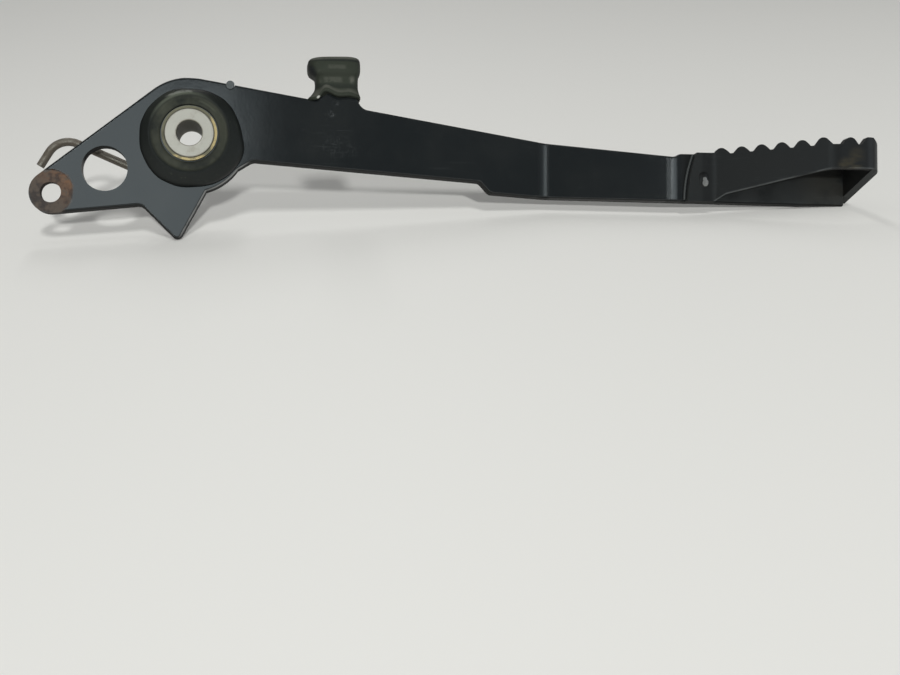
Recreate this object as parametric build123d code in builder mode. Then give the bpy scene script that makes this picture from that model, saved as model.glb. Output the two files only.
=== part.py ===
from build123d import *
import os
from math import asin, atan2, acos, cos, degrees, hypot, pi, radians, sin, tan

# Rear brake pedal of a motorbike. Millimetres, with the origin on the pivot axis in the middle of
# the lever plate, +X towards the toe, +Z up and -Y on the outer side, which the rider's boot meets.

os.makedirs("parts", exist_ok=True)

# Lever plate
plate_t = 6.0
eye_r = 18.65
top_slope = 9.2
low_slope = 4.1
low_drop = 6.4
edge_round = 0.7

# Clevis end and lightening hole
clevis_x = -43.3
clevis_z = -18.95
clevis_d = 6.5
lobe_r = 6.7
seat_depth = 0.8
seat_margin = 0.5
light_x = -26.6
light_z = -11.2
light_d = 14.4

# Stop point under the pivot
point_x = -3.5
point_z = -34.2
point_r = 1.5
heel_x = -15.2
heel_z = -22.6
throat_x = 6.0
throat_z = -16.5
arm_root_x = 19.9

# Step in the lower edge
step_x = 95.8
step_h = 3.45
step_run = 3.4

# Bends that carry the toe outwards
bend_x = 116.1
bend_angle = 24.0
bend_r = 5.0
jog = 18.0

# Lug and its stop buffer
lug_x = 46.7
lug_w = 14.2
lug_rise = 4.05
stem_w = 9.0
stem_h = 8.2
stem_root = 0.4
buffer_h = 11.2
buffer_head_w = 17.3
buffer_head_h = 6.0
buffer_head_shift = -0.75
buffer_depth = 12.0
collar_h = 1.6
collar_lip = 0.7
buffer_corner = 3.6
buffer_round = 1.8
buffer_gap = 0.05

# Toe loop
toe_end = 211.7
toe_low = -21.3
toe_fall = 0.5
toe_top = -2.75
toe_ramp = 1.7
tooth_pitch = 6.3
tooth_h = 2.3
first_tooth_h = 1.8
valley_climb = 0.9
tooth_round = 2.0
valley_flat = 1.1
valley_round = 0.4
strip_t = 3.0
strip_r = 5.0
corner_r = 2.4
seam_x = 158.2
tab_drop = 0.25
tab_len = 8.8
tab_lean = 3.0
loop_depth = 23.5
nose_len = 14.0
corner_tooth = 7.5
tab_low = -20.9
front_lift = 2.1
lift_run = 3.0
front_low = -12.6
front_run = 31.0
front_sweep = 30.0
wall_low = -19.8
plug_w = 2.8
plug_h = 4.6
plug_in = 5.2
plug_rise = 7.4
plug_proud = 0.4
bead_leg = 1.3

# Pivot
bolt_d = 8.2
sleeve_d = 15.4
sleeve_proud = 0.8
sleeve_chamfer = 0.25
bush_wall = 1.0
bush_len = 8.0
bush_proud = 1.0
tube_wall = 2.8
tube_front = 3.2
tube_rear = 9.0
seal_r = 16.2
seal_cover = 1.1
seal_groove = 0.5
rear_seal_wall = 1.8
rear_seal_len = 4.0
run_gap = 0.05
press_gap = 0.02
weld_gap = 0.05
seal_gap = 0.1
lip_gap = 0.3
weld_leg = 2.2

# Return spring
wire_d = 2.7
coil_r = 15.5
coil_turns = 2
coil_gap = 0.15
spring_clear = 0.8
hook_x = 12.7
hook_sink = 0.35
hook_proud = 0.6
leg_angle = 23.3
leg_len = 33.4
leg_hook_r = 7.3
leg_hook_turn = 82.5
leg_tail = 5.4
notch_gap = 0.1

# Faces of the bent plate
half_t = plate_t / 2
toe_face = -jog - half_t
toe_back = -jog + half_t
bend_run = jog / tan(radians(bend_angle))
bend_out = bend_r + plate_t
toe_root = bend_x + bend_run
top_a = radians(top_slope)
low_a = radians(low_slope)

# Radii about the pivot
sleeve_r = sleeve_d / 2
bush_in = sleeve_r + run_gap
bush_out = bush_in + bush_wall
tube_in = bush_out + press_gap
tube_out = tube_in + tube_wall
seal_in = tube_out + seal_gap
lip_r = bush_out + lip_gap

# Ends along the pivot
tube_y0 = -half_t - tube_front
tube_y1 = half_t + tube_rear

# Heights of the toothed edge
valley_z = toe_top - tooth_h
tab_top = valley_z - tab_drop
tooth_x = seam_x + tab_len
plug_x = seam_x + plug_in
plug_z = toe_low + plug_rise


def top_z(x):
    return (eye_r - x * sin(top_a)) / cos(top_a)


def low_z(x, drop=low_drop):
    return -drop - x * tan(low_a)


def heading(a, b):
    return atan2(b[1] - a[1], b[0] - a[0])


def strip_outline(path, thickness):
    right, left = [], []
    turns = [heading(a, b) for a, b in zip(path, path[1:])]
    for (x, y), a_in, a_out in zip(path, turns[:1] + turns, turns + turns[-1:]):
        mid = (a_in + a_out) / 2
        reach = thickness / 2 / cos((a_out - a_in) / 2)
        right.append((x + reach * sin(mid), y - reach * cos(mid)))
        left.append((x - reach * sin(mid), y + reach * cos(mid)))
    return right + left[::-1]


def ring(y_front, y_rear, r_out, r_in):
    with BuildSketch(Plane.XZ.offset(-y_rear)) as section:
        Circle(r_out)
        Circle(r_in, mode=Mode.SUBTRACT)
    extrude(section.sketch, amount=y_rear - y_front)


def cut_teeth(x, y, turn, run, depth, first_h=tooth_h, climb=0, root_z=valley_z, lead=valley_flat, spare=0):
    count = max(1, round(run / tooth_pitch))
    pitch = run / count
    foot = pitch / 2 - valley_flat / 2
    start_z = valley_z - climb
    end = run + spare + valley_flat
    corners = [((-lead, root_z), 0)]
    for i in range(count):
        mid = (i + 0.5) * pitch
        height = first_h + (tooth_h - first_h) * mid / run
        blunt = tooth_round * (hypot(foot, height * 1.4) / foot - 1)
        left_z = start_z + climb * i / count if i else root_z
        right_x = mid + foot if i < count - 1 else run + spare
        corners.append(((mid - foot, left_z), valley_round))
        corners.append(((mid, start_z + climb * mid / run + height + blunt), tooth_round))
        corners.append(((right_x, start_z + climb * (i + 1) / count), valley_round))
    corners.append(((end, valley_z), 0))
    corners.append(((end, toe_top + tooth_pitch), 0))
    corners.append(((-lead, toe_top + tooth_pitch), 0))
    wall = Plane((x, y, 0), x_dir=(cos(turn), sin(turn), 0), z_dir=(sin(turn), -cos(turn), 0))
    with BuildSketch(wall) as comb:
        with BuildLine():
            FilletPolyline(*[p for p, r in corners], radius=[r for p, r in corners], close=True)
        make_face()
    extrude(comb.sketch, amount=depth, both=True, mode=Mode.SUBTRACT)


hook_z = top_z(hook_x) - hook_sink

lug_shoulder = top_z(lug_x) + lug_rise
stem_top = lug_shoulder + stem_h
buffer_top = lug_shoulder + buffer_h

# Lever arm: one plate, bent twice, with its eye, clevis lobe, stop point, lug and toothed toe
lobe_reach = hypot(heel_x - clevis_x, heel_z - clevis_z)
lobe_a = heading((clevis_x, clevis_z), (heel_x, heel_z)) + asin(lobe_r / lobe_reach)
lug_left = lug_x - lug_w / 2
lug_right = lug_x + lug_w / 2
stem_left = lug_x - stem_w / 2
stem_right = lug_x + stem_w / 2
step_in = step_x - step_run / 2
step_out = step_x + step_run / 2
arm_corners = [
    ((eye_r * sin(top_a), eye_r * cos(top_a)), 0),
    ((lug_left, top_z(lug_left)), 1.5),
    ((lug_left, lug_shoulder), 0.8),
    ((stem_left, lug_shoulder), stem_root),
    ((stem_left, stem_top), 2.0),
    ((stem_right, stem_top), 2.0),
    ((stem_right, lug_shoulder), stem_root),
    ((lug_right, lug_shoulder), 0.8),
    ((lug_right, top_z(lug_right)), 4.0),
    ((toe_root - toe_ramp, top_z(toe_root - toe_ramp)), 2.0),
    ((seam_x - toe_ramp, tab_top), 2.0),
    ((tooth_x, tab_top), 1.0),
    ((tooth_x + tooth_h, toe_top), 1.0),
    ((toe_end, toe_top), 0),
    ((toe_end, toe_low), 0),
    ((toe_root, toe_low + toe_fall), 8.0),
    ((step_out, low_z(step_out, low_drop + step_h)), 2.2),
    ((step_in, low_z(step_in)), 2.2),
    ((arm_root_x, low_z(arm_root_x)), 3.5),
    ((throat_x, throat_z), 1.5),
    ((point_x, point_z), point_r),
    ((heel_x, heel_z), 3.0),
    ((clevis_x + lobe_r * sin(lobe_a), clevis_z - lobe_r * cos(lobe_a)), 0),
    ((clevis_x, clevis_z), 0),
    ((0, 0), 0),
]
arm_path = [(clevis_x - 2 * lobe_r, 0), (bend_x, 0), (toe_root, -jog), (toe_end, -jog)]

with BuildPart() as lever_arm:
    with BuildSketch(Plane.XY.offset(2 * point_z)):
        with BuildLine():
            FilletPolyline(
                *strip_outline(arm_path, plate_t),
                radius=[0, bend_r, bend_out, 0, 0, bend_r, bend_out, 0],
                close=True,
            )
        make_face()
    extrude(amount=-4 * point_z)
    with BuildSketch(Plane.XZ):
        Circle(eye_r)
        with Locations((clevis_x, clevis_z)):
            Circle(lobe_r)
        make_hull()
        with BuildLine():
            FilletPolyline(*[p for p, r in arm_corners], radius=[r for p, r in arm_corners], close=True)
        make_face()
    extrude(amount=toe_end, both=True, mode=Mode.INTERSECT)
    across = lever_arm.edges().filter_by(Axis.Y)
    bend_lines = lever_arm.edges().filter_by(Axis.Z).filter_by_position(Axis.X, lug_right + bend_r, toe_end)
    fillet(lever_arm.edges() - across - bend_lines, edge_round)
    cut_teeth(tooth_x, -jog, 0, toe_end - tooth_x, plate_t, first_tooth_h, valley_climb, tab_top)
    for face_y in (half_t, -half_t):
        with BuildSketch(Plane.XZ.offset(face_y)):
            with Locations((clevis_x, clevis_z)):
                Circle(lobe_r + seat_margin)
        extrude(amount=seat_depth, both=True, mode=Mode.SUBTRACT)
    with BuildSketch(Plane.XZ):
        Circle(tube_out + weld_gap)
        with Locations((clevis_x, clevis_z)):
            Circle(clevis_d / 2)
        with Locations((light_x, light_z)):
            Circle(light_d / 2)
        with Locations((hook_x, hook_z)):
            Circle(wire_d / 2 + notch_gap)
    extrude(amount=plate_t, both=True, mode=Mode.SUBTRACT)
lever_arm.part.label = "lever_arm"
export_step(lever_arm.part, "parts/lever_arm.step")

# Toe loop: a toothed strip bent round from the arm's face to its end
strip_y = toe_face - strip_t / 2
nose_y = toe_face - loop_depth + strip_t / 2
wall_x = toe_end + strip_t / 2
nose_x = wall_x - nose_len
strip_path = [(seam_x, strip_y), (tooth_x, strip_y), (nose_x, nose_y), (wall_x, nose_y), (wall_x, toe_back)]
strip_out = strip_r + strip_t
corner_out = corner_r + strip_t
slant = heading(strip_path[1], strip_path[2])
slant_len = hypot(nose_x - tooth_x, nose_y - strip_y)
nose_teeth_x = toe_end + strip_t - corner_tooth - tooth_pitch
wall_teeth_y = nose_y + strip_t
front_edge = [
    ((seam_x - strip_t, 2 * toe_low), 0),
    ((seam_x - strip_t, tab_low), 0),
    ((tooth_x, tab_low), 0),
    ((tooth_x + lift_run, tab_low + front_lift), 4.0),
    ((tooth_x + front_run, front_low), front_sweep),
    ((toe_end, front_low), 0),
    ((toe_end, 2 * toe_low), 0),
]
wall_edge = [
    (nose_y - strip_t, 2 * toe_low),
    (nose_y - strip_t, front_low),
    (nose_y, front_low),
    (toe_back, wall_low),
    (toe_back, 2 * toe_low),
]

with BuildPart() as toe_loop:
    with BuildSketch(Plane.XY.offset(toe_low)):
        with BuildLine():
            FilletPolyline(
                *strip_outline(strip_path, strip_t),
                radius=[0, strip_r, strip_out, corner_out, 0, 0, corner_r, strip_r, strip_out, 0],
                close=True,
            )
        make_face()
    extrude(amount=toe_top - toe_low)
    with BuildSketch(Plane.XZ):
        with BuildLine():
            FilletPolyline(*[p for p, r in front_edge], radius=[r for p, r in front_edge], close=True)
        make_face()
        with Locations((seam_x, tab_top)):
            Rectangle(tab_len, tooth_pitch, align=(Align.MIN, Align.MIN))
        with BuildLine():
            TangentArc((seam_x, tab_low), (seam_x + tab_lean, tab_top), tangent=(0, 1))
            Polyline((seam_x + tab_lean, tab_top), (seam_x, tab_top), (seam_x, tab_low))
        make_face()
    extrude(amount=toe_end, both=True, mode=Mode.SUBTRACT)
    with BuildSketch(Plane.YZ.offset(toe_end)):
        with BuildLine():
            Polyline(*wall_edge, close=True)
        make_face()
    extrude(amount=nose_len, mode=Mode.SUBTRACT)
    cut_teeth(tooth_x, strip_y, slant, slant_len, strip_t, first_tooth_h, valley_climb, tab_top)
    cut_teeth(
        nose_teeth_x, nose_y, 0, 2 * tooth_pitch, strip_t,
        lead=nose_teeth_x - nose_x, spare=corner_tooth - tooth_pitch,
    )
    cut_teeth(wall_x, wall_teeth_y, radians(90), toe_back - wall_teeth_y, strip_t)
    with BuildSketch(Plane.XZ.offset(-toe_face)):
        with Locations((plug_x, plug_z)):
            SlotOverall(plug_h, plug_w, rotation=90)
    extrude(amount=strip_t, mode=Mode.SUBTRACT)
toe_loop.part.label = "toe_loop"
export_step(toe_loop.part, "parts/toe_loop.step")

# Toe welds: a bead down the seam, the plug in the tab and a bead at the loop's far end
seam_h = tab_top - tab_low
seam_r = (tab_lean**2 + seam_h**2) / (2 * tab_lean)
with BuildPart() as toe_welds:
    with BuildSketch(Plane.XY.offset(tab_low)):
        with BuildLine():
            ThreePointArc(
                (seam_x - bead_leg, toe_face),
                (seam_x - bead_leg * 0.65, toe_face - bead_leg * 0.65),
                (seam_x, toe_face - bead_leg),
            )
            Polyline((seam_x, toe_face - bead_leg), (seam_x, toe_face), (seam_x - bead_leg, toe_face))
        make_face()
    seam_axis = Axis((seam_x + seam_r, 0, tab_low), (0, 1, 0))
    revolve(axis=seam_axis, revolution_arc=degrees(asin(seam_h / seam_r)))
    with BuildSketch(Plane.XY.offset(wall_low)):
        with BuildLine():
            ThreePointArc(
                (toe_end - bead_leg, toe_back),
                (toe_end, toe_back + bead_leg),
                (toe_end + bead_leg, toe_back),
            )
            Line((toe_end + bead_leg, toe_back), (toe_end - bead_leg, toe_back))
        make_face()
    extrude(amount=tab_top - wall_low)
    with BuildSketch(Plane.XZ.offset(-toe_face)):
        with Locations((plug_x, plug_z)):
            SlotOverall(plug_h - 2 * weld_gap, plug_w - 2 * weld_gap, rotation=90)
    extrude(amount=strip_t + plug_proud)
    fillet(toe_welds.faces().sort_by(Axis.Y)[0].edges(), plug_proud)
toe_welds.part.label = "toe_welds"
export_step(toe_welds.part, "parts/toe_welds.step")

# Pivot tube, welded into the plate's eye
with BuildPart() as pivot_tube:
    ring(tube_y0, tube_y1, tube_out, tube_in)
pivot_tube.part.label = "pivot_tube"
export_step(pivot_tube.part, "parts/pivot_tube.step")

# Weld fillet round the tube on the plate's rear face
with BuildPart() as pivot_weld:
    with BuildSketch(Plane.XY):
        with BuildLine():
            Polyline((tube_out, half_t + weld_leg), (tube_out, half_t), (tube_out + weld_leg, half_t))
            ThreePointArc(
                (tube_out + weld_leg, half_t),
                (tube_out + weld_leg * 0.42, half_t + weld_leg * 0.42),
                (tube_out, half_t + weld_leg),
            )
        make_face()
    revolve(axis=Axis.Y)
pivot_weld.part.label = "pivot_weld"
export_step(pivot_weld.part, "parts/pivot_weld.step")

# Bronze bushes, one pressed in at each end of the tube
front_bush_y = tube_y0 - bush_proud
rear_bush_y = tube_y1 + bush_proud
with BuildPart() as front_bush:
    ring(front_bush_y, front_bush_y + bush_len, bush_out, bush_in)
front_bush.part.label = "front_bush"
export_step(front_bush.part, "parts/front_bush.step")

with BuildPart() as rear_bush:
    ring(rear_bush_y - bush_len, rear_bush_y, bush_out, bush_in)
rear_bush.part.label = "rear_bush"
export_step(rear_bush.part, "parts/rear_bush.step")

# Pivot sleeve: it stays clamped on the bolt while the lever turns round it
sleeve_y0 = front_bush_y - sleeve_proud
sleeve_y1 = rear_bush_y + sleeve_proud
with BuildPart() as pivot_sleeve:
    ring(sleeve_y0, sleeve_y1, sleeve_r, bolt_d / 2)
    chamfer(pivot_sleeve.edges().filter_by(GeomType.CIRCLE), sleeve_chamfer)
pivot_sleeve.part.label = "pivot_sleeve"
export_step(pivot_sleeve.part, "parts/pivot_sleeve.step")

# Rubber seals over both ends of the tube
front_rim_y = tube_y0 - seal_gap
front_face_y = front_rim_y - seal_cover
with BuildPart() as front_seal:
    with BuildSketch(Plane.XY):
        with BuildLine():
            FilletPolyline(
                (lip_r, front_face_y),
                (tube_out, front_face_y),
                (tube_out + seal_groove, front_face_y + seal_groove),
                (tube_out + 2 * seal_groove, front_face_y),
                (seal_r, front_rim_y + seal_groove),
                (seal_r, -half_t),
                (seal_in, -half_t),
                (seal_in, front_rim_y),
                (lip_r, front_rim_y),
                radius=[0.3, 0.2, 0.3, 0.3, 1.2, 0, 0, 0, 0.3],
                close=True,
            )
        make_face()
    revolve(axis=Axis.Y)
front_seal.part.label = "front_seal"
export_step(front_seal.part, "parts/front_seal.step")

rear_rim_y = tube_y1 + seal_gap
with BuildPart() as rear_seal:
    ring(tube_y1 - rear_seal_len, rear_rim_y, seal_in + rear_seal_wall, seal_in)
    ring(rear_rim_y, rear_rim_y + seal_cover, seal_in + rear_seal_wall, lip_r)
    fillet(rear_seal.edges().filter_by(GeomType.CIRCLE).group_by(Axis.Y)[-1], seal_cover / 3)
rear_seal.part.label = "rear_seal"
export_step(rear_seal.part, "parts/rear_seal.step")

# Return spring: a short leg hooked in the plate's notch, the coil, and the long leg with its hook
coil_y = half_t + spring_clear + wire_d / 2
coil_start = heading((0, 0), (hook_x, hook_z)) - acos(coil_r / hypot(hook_x, hook_z))
coil_sweep = coil_start + radians(90 + leg_angle) + 2 * pi * coil_turns
coil_pitch = wire_d + coil_gap
coil_h = coil_pitch * coil_sweep / (2 * pi)
with BuildPart() as return_spring:
    with BuildLine() as wire:
        full_coil = Helix(coil_pitch, coil_h, coil_r, (0, coil_y, 0), (0, 1, 0), mode=Mode.PRIVATE)
        coil = add(full_coil.rotate(Axis.Y, 90 - degrees(coil_start))).edge()
        short_leg = hypot(hook_x, hook_z) * sin(acos(coil_r / hypot(hook_x, hook_z)))
        knee = coil @ 0 - (coil % 0) * short_leg
        FilletPolyline((knee.X, -half_t - hook_proud, knee.Z), knee, coil @ 0, radius=coil_y - half_t)
        leg_dir = coil % 1
        leg_tip = coil @ 1 + leg_dir * leg_len
        Line(coil @ 1, leg_tip)
        inward = leg_dir.cross(Vector(0, 1, 0)).normalized()
        hook_turn = radians(leg_hook_turn)
        hook_centre = leg_tip + inward * leg_hook_r
        half_way = leg_dir * sin(hook_turn / 2) - inward * cos(hook_turn / 2)
        full_way = leg_dir * sin(hook_turn) - inward * cos(hook_turn)
        hook_end = hook_centre + full_way * leg_hook_r
        ThreePointArc(leg_tip, hook_centre + half_way * leg_hook_r, hook_end)
        tail_dir = leg_dir * cos(hook_turn) + inward * sin(hook_turn)
        Line(hook_end, hook_end + tail_dir * leg_tail)
    with BuildSketch(Plane((knee.X, -half_t - hook_proud, knee.Z), z_dir=(0, 1, 0))):
        Circle(wire_d / 2)
    sweep(path=wire.wires()[0])
return_spring.part.label = "return_spring"
export_step(return_spring.part, "parts/return_spring.step")

# Stop buffer: a rubber cap pushed over the lug's stem
head_z = buffer_top - buffer_head_h
with BuildPart() as stop_buffer:
    with BuildSketch(Plane.XY.offset(lug_shoulder)):
        with Locations((lug_x, 0)):
            RectangleRounded(lug_w + 2 * collar_lip, buffer_depth + 2 * collar_lip, buffer_corner + collar_lip)
    extrude(amount=collar_h)
    fillet(stop_buffer.edges().group_by(Axis.Z)[-1], collar_lip)
    with BuildSketch(Plane.XY.offset(lug_shoulder)):
        with Locations((lug_x, 0)):
            RectangleRounded(lug_w, buffer_depth, buffer_corner)
    extrude(amount=head_z - lug_shoulder + collar_h)
    with BuildSketch(Plane.XY.offset(head_z)):
        with Locations((lug_x + buffer_head_shift, 0)):
            RectangleRounded(buffer_head_w, buffer_depth + buffer_head_w - lug_w, buffer_corner + collar_lip)
    extrude(amount=buffer_head_h)
    fillet(stop_buffer.edges().group_by(Axis.Z)[-1], buffer_round)
    with BuildSketch(Plane.XZ):
        with Locations((lug_x, lug_shoulder)):
            Rectangle(
                stem_w + 2 * buffer_gap,
                stem_top + buffer_gap - lug_shoulder,
                align=(Align.CENTER, Align.MIN),
            )
    extrude(amount=half_t + buffer_gap, both=True, mode=Mode.SUBTRACT)
    chamfer(stop_buffer.faces().sort_by(Axis.Z)[0].inner_wires()[0].edges(), stem_root)
stop_buffer.part.label = "stop_buffer"
export_step(stop_buffer.part, "parts/stop_buffer.step")
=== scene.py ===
from math import acos, atan2, ceil, cos, hypot, pi, radians, sin, sqrt, tan

import bmesh
import bpy
from mathutils import Matrix, Vector, noise


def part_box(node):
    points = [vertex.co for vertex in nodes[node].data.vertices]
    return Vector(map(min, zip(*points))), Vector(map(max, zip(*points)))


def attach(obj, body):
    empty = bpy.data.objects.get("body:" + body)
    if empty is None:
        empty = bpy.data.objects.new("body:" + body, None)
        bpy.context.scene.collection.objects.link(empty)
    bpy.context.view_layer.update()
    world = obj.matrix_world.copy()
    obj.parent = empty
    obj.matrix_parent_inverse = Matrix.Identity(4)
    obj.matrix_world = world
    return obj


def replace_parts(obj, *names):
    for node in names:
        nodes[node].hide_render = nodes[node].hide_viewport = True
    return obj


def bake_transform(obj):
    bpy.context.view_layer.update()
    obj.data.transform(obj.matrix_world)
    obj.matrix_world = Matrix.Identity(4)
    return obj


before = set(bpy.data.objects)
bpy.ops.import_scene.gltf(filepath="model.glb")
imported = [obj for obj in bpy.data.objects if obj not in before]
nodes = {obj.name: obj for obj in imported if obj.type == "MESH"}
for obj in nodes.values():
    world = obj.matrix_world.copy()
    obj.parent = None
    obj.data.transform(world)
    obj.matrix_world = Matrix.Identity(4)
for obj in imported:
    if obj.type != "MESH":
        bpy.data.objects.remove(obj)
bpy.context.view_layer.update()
mm = 0.001
print("frame loaded:", len(nodes), "nodes")


# A wrapped socket takes plain operators, and each one adds its Math node
class Wire:
    def __init__(self, bench, socket):
        self.bench, self.socket = bench, socket

    def calc(self, operation, first, second):
        return self.bench.node("ShaderNodeMath", {"operation": operation}, {0: first, 1: second})

    def __add__(self, other):
        return self.calc("ADD", self, other)

    def __radd__(self, other):
        return self.calc("ADD", other, self)

    def __sub__(self, other):
        return self.calc("SUBTRACT", self, other)

    def __rsub__(self, other):
        return self.calc("SUBTRACT", other, self)

    def __mul__(self, other):
        return self.calc("MULTIPLY", self, other)

    def __rmul__(self, other):
        return self.calc("MULTIPLY", other, self)

    def __truediv__(self, other):
        return self.calc("DIVIDE", self, other)

    def __pow__(self, other):
        return self.calc("POWER", self, other)

    def __abs__(self):
        return self.calc("ABSOLUTE", self, 0.0)


# One node tree, for a finish or for a form
class Bench:
    def __init__(self, tree):
        self.tree = tree
        tree.nodes.clear()

    def node(self, kind, settings=None, sockets=None, out=0):
        made = self.tree.nodes.new(kind)
        for key, value in (settings or {}).items():
            if key == "keep":  # the name of the value that a Capture Attribute node keeps
                made.capture_items.new("FLOAT", value)
            else:
                setattr(made, key, value)
        for key, value in (sockets or {}).items():
            target = made.inputs[key]
            if isinstance(value, Wire):
                self.tree.links.new(value.socket, target)
            elif target.type == "RGBA" and len(value) == 3:
                target.default_value = (*value, 1.0)
            else:
                target.default_value = value
        return Wire(self, made.outputs[out]) if made.outputs else None

    def other(self, wire, out):  # another output of the same node
        return Wire(self, wire.socket.node.outputs[out])

    def axes(self, vector):
        first = self.node("ShaderNodeSeparateXYZ", None, {0: vector})
        return first, self.other(first, 1), self.other(first, 2)

    def pick(self, operation, values):
        best = values[0]
        for value in values[1:]:
            best = self.node("ShaderNodeMath", {"operation": operation}, {0: best, 1: value})
        return best

    def most(self, *values):
        return self.pick("MAXIMUM", values)

    def least(self, *values):
        return self.pick("MINIMUM", values)


class Finish(Bench):
    def __init__(self, name):
        self.material = bpy.data.materials.new(name)
        self.material.use_nodes = True
        super().__init__(self.material.node_tree)
        self.p = self.node("ShaderNodeTexCoord", None, None, "Object")  # the piece's own place, in metres
        self.x, self.y, self.z = self.axes(self.p)

    def normal(self):
        return self.axes(self.node("ShaderNodeTexCoord", None, None, "Normal"))

    def stretch(self, scale, turn=(0, 0, 0), shift=(0, 0, 0)):
        return self.node(
            "ShaderNodeMapping", None,
            {"Vector": self.p, "Scale": scale, "Rotation": turn, "Location": shift})

    def noise(self, place, size, detail=3.0, rough=0.55):
        return self.node(
            "ShaderNodeTexNoise", {"noise_dimensions": "3D"},
            {"Vector": place, "Scale": 1.0 / size, "Detail": detail, "Roughness": rough})

    def mix(self, amount, first, second):
        return self.node("ShaderNodeMix", {"data_type": "RGBA"}, {0: amount, 6: first, 7: second}, 2)

    def span(self, value, low, high):  # a soft step, 0 at low and 1 at high
        return self.node(
            "ShaderNodeMapRange", {"interpolation_type": "SMOOTHSTEP", "clamp": True},
            {"Value": value, "From Min": low, "From Max": high})

    def band(self, value, start, full, fall, end):  # 1 from full to fall, 0 before start and after end
        return self.span(value, start, full) * self.span(value, end, fall)

    def bar(self, along, up):  # a soft bar: each way its middle, where it ends and where it is full
        return self.span(abs(self.x - along[0]), *along[1:]) * self.span(abs(self.z - up[0]), *up[1:])

    def near(self, point, radius, soft):  # 1 within radius of a point in mm, falling to 0 over soft
        place = tuple(c * mm for c in point)
        away = self.node("ShaderNodeVectorMath", {"operation": "DISTANCE"}, {0: self.p, 1: place}, "Value")
        return self.span(away, (radius + soft) * mm, radius * mm)

    def spots(self, places):
        return self.most(*[self.near(*place) for place in places])

    def fromAxis(self, x, z):  # distance from an axis along Y, in mm
        return ((self.x - x * mm) ** 2.0 + (self.z - z * mm) ** 2.0) ** 0.5 / mm

    def bump(self, height, depth, strength=1.0, under=None):
        sockets = {"Height": height, "Distance": depth * mm, "Strength": strength}
        if under is not None:
            sockets["Normal"] = under
        return self.node("ShaderNodeBump", None, sockets)

    def done(self, **sockets):
        named = {key.replace("_", " "): value for key, value in sockets.items()}
        shader = self.node("ShaderNodeBsdfPrincipled", None, named)
        self.node("ShaderNodeOutputMaterial", None, {"Surface": shader})
        return self.material


# Satin black paint with its wear, dust and rust
paint = {
    "colour": (0.0040, 0.0054, 0.0061),
    "under": (0.0015, 0.0019, 0.0019),  # what looks down is darker, partly road dirt and partly painted shade; the dirty toe and the plug's paint take it too
    "dust": (0.060, 0.062, 0.055),
    "mud": (0.050, 0.041, 0.021),
    "scuff": (0.034, 0.038, 0.039),
    # worn: also the lighter colour of the painted highlights on lit edges
    "worn": (0.092, 0.100, 0.099),
    "steel": (0.25, 0.255, 0.25),
    "rust": (0.088, 0.044, 0.021),
    "oldRust": (0.040, 0.031, 0.024),
    "pits": (0.014, 0.011, 0.010),
    "rough": 0.088, "dull": 0.62, "toeDull": 0.42, "sideDull": 0.35, "gloss": 0.5, "peel": 0.010,
    "clevis": (-43.3, -18.95), "bareDisc": 7.1,
    # dull bands at the bends: the middle along X, where the band ends, where it is full, and how dull
    "bends": [(0.1152, 0.0024, 0.0012, 0.21), (0.1541, 0.0020, 0.0012, 0.12)],
    # soft spots, as a point, a radius and a soft edge in mm
    "scuffs": [((46.3, -3, -2.0), 1.5, 5.0), ((51.5, -3, -3.5), 0.5, 3.0)],
    "specks": [((46.6, -3, 11.5), 0.5, 1.0), ((45.3, -3, 8.1), 0.5, 1.1)],
    "mudLow": [((202.4, -44.5, -11.8), 0.6, 2.8), ((205.0, -44.5, -11.4), 0.8, 2.8)],
    "mudHigh": [((206.0, -44.5, -8.6), 0.5, 3.2)],
    "mudCorner": [((207.0, -21.0, -16.2), 2.0, 12.0)],
    "throat": [((3.5, -3, -24.0), 8.0, 4.0), ((13.0, -3, -14.0), 5.0, 4.0)],
    # the strip's lower edge: lines from a place along X, by a slope, from a height, under a top height
    "edgeLines": [(0.167, 0.7, -0.0209), (0.170, 0.2214, -0.0188)], "edgeTop": -0.0126,
    # where a zone begins and where it is full, in metres along one axis
    "zones": {
        "bent": (0.109, 0.115), "toe": (0.1562, 0.1578), "strip": (-0.0209, -0.0213),
        "wallEndHighlight": (0.2110, 0.2118), "tab": (0.1560, 0.1566, 0.1626, 0.1634), "tabFace": (-0.0214, -0.0218),
        "cornerAlong": (0.2118, 0.2140), "cornerOut": (-0.0360, -0.0400)},
    "amounts": {
        "film": 0.04, "blotches": 0.02, "settled": 0.22, "toeDirt": 0.8,
        "hairs": 0.25, "scuffs": 0.4, "specks": 0.45, "mudHigh": 0.6, "mudNose": 0.32, "mudCorner": 0.08,
        # the strip's low edge, the wall's end, the tab's end and the nose's corner set the painted
        # highlights on lit edges
        "rims": 0.35, "lowEdgeWearAndHighlight": 0.35, "wallEndHighlight": 0.2, "tabEndHighlight": 0.3, "corner": 0.3,
        "chips": 0.4, "steel": 0.7},
}


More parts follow.
